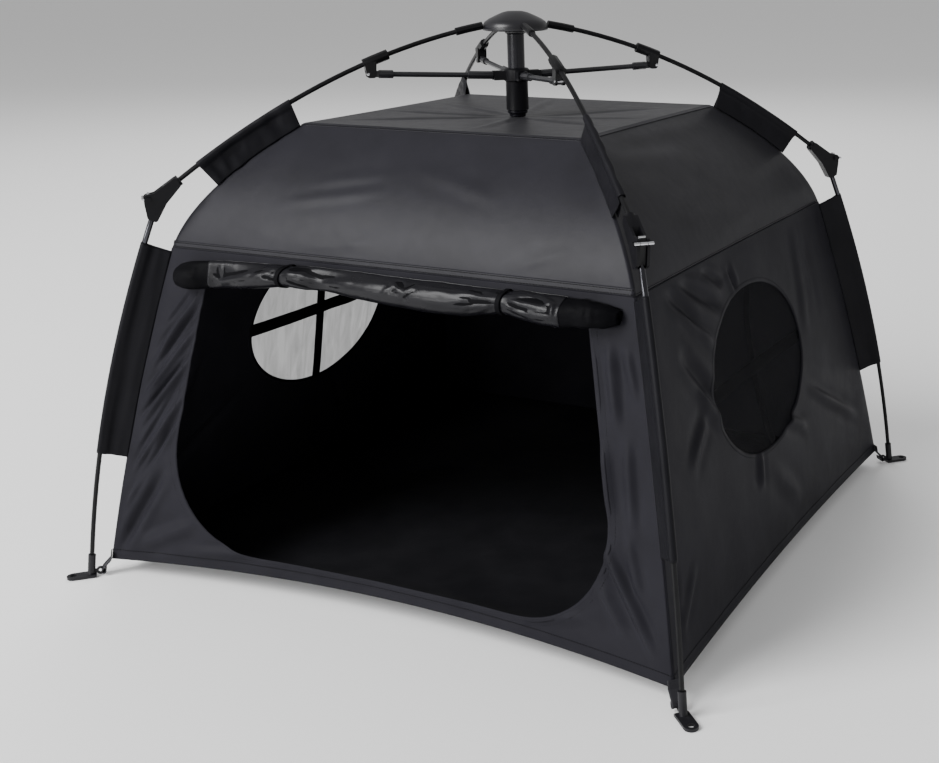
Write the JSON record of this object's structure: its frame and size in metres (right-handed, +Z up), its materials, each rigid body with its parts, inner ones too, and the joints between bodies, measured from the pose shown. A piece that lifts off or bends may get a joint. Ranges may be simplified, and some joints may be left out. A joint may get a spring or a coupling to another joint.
{
  "type": "pop-up pet tent",
  "caption": "Small pop-up tent for a pet: sprung umbrella frame with folding legs around a fabric cabin with an open rolled-up door and oval net windows.",
  "frame": {"origin": "on the ground under the middle of the cabin, which is the middle of the four feet", "axes": "+Z up, the doorway faces -Y, +X to the right as seen from the doorway"},
  "size_m": [0.8016, 0.8016, 0.6354],
  "materials": {
    "grey_cloth": "matt dark grey polyester",
    "roof_cloth": "matt grey polyester",
    "black_cloth": "black binding and sleeve cloth",
    "floor_cloth": "coated dark cloth",
    "door_cloth": "thin shiny cloth, rolled and creased",
    "net": "fine open net",
    "hard_plastic": "black moulded nylon",
    "fibreglass": "black sprung rod",
    "tube_metal": "dark coated tube"
  },
  "bodies": {
    "root": {"front_wall": "grey_cloth", "back_wall": "grey_cloth", "left_wall": "grey_cloth", "right_wall": "grey_cloth", "front_slope": "grey_cloth", "back_slope": "grey_cloth", "left_slope": "grey_cloth", "right_slope": "grey_cloth", "roof_panel": "roof_cloth", "floor_panel": "floor_cloth", "left_window_net": "net", "right_window_net": "net", "door_roll": "door_cloth", "hub_cap": "hard_plastic", "mast_tube": "tube_metal", "slider_collar": "hard_plastic", "rib_front_left": "fibreglass", "rib_front_right": "fibreglass", "rib_back_left": "fibreglass", "rib_back_right": "fibreglass", "strut_front_left": "fibreglass", "strut_front_right": "fibreglass", "strut_back_left": "fibreglass", "strut_back_right": "fibreglass", "elbow_front_left": "hard_plastic", "elbow_front_right": "hard_plastic", "elbow_back_left": "hard_plastic", "elbow_back_right": "hard_plastic", "upper_sleeve_front_left": "black_cloth", "upper_sleeve_front_right": "black_cloth", "upper_sleeve_back_left": "black_cloth", "upper_sleeve_back_right": "black_cloth", "lower_sleeve_front_left": "black_cloth", "lower_sleeve_front_right": "black_cloth", "lower_sleeve_back_left": "black_cloth", "lower_sleeve_back_right": "black_cloth", "corner_strap_front_left": "black_cloth", "corner_strap_front_right": "black_cloth", "corner_strap_back_left": "black_cloth", "corner_strap_back_right": "black_cloth"},
    "front_left_leg": {"leg_front_left": "fibreglass", "foot_front_left": "hard_plastic"},
    "front_right_leg": {"leg_front_right": "fibreglass", "foot_front_right": "hard_plastic"},
    "back_left_leg": {"leg_back_left": "fibreglass", "foot_back_left": "hard_plastic"},
    "back_right_leg": {"leg_back_right": "fibreglass", "foot_back_right": "hard_plastic"}
  },
  "joints": [
    {"name": "front_left_elbow", "type": "hinge", "parent": "root", "child": "front_left_leg", "pos_m": [-0.30137, -0.30137, 0.4413], "axis": [-0.7071, 0.7071, 0], "range_deg": [0, 200]},
    {"name": "front_right_elbow", "type": "hinge", "parent": "root", "child": "front_right_leg", "pos_m": [0.30137, -0.30137, 0.4413], "axis": [-0.7071, -0.7071, 0], "range_deg": [0, 200]},
    {"name": "back_left_elbow", "type": "hinge", "parent": "root", "child": "back_left_leg", "pos_m": [-0.30137, 0.30137, 0.4413], "axis": [0.7071, 0.7071, 0], "range_deg": [0, 200]},
    {"name": "back_right_elbow", "type": "hinge", "parent": "root", "child": "back_right_leg", "pos_m": [0.30137, 0.30137, 0.4413], "axis": [0.7071, -0.7071, 0], "range_deg": [0, 200]}
  ],
  "couplings": [
    {"joint": "front_right_elbow", "follows": "front_left_elbow", "ratio": 1},
    {"joint": "back_left_elbow", "follows": "front_left_elbow", "ratio": 1},
    {"joint": "back_right_elbow", "follows": "front_left_elbow", "ratio": 1}
  ]
}
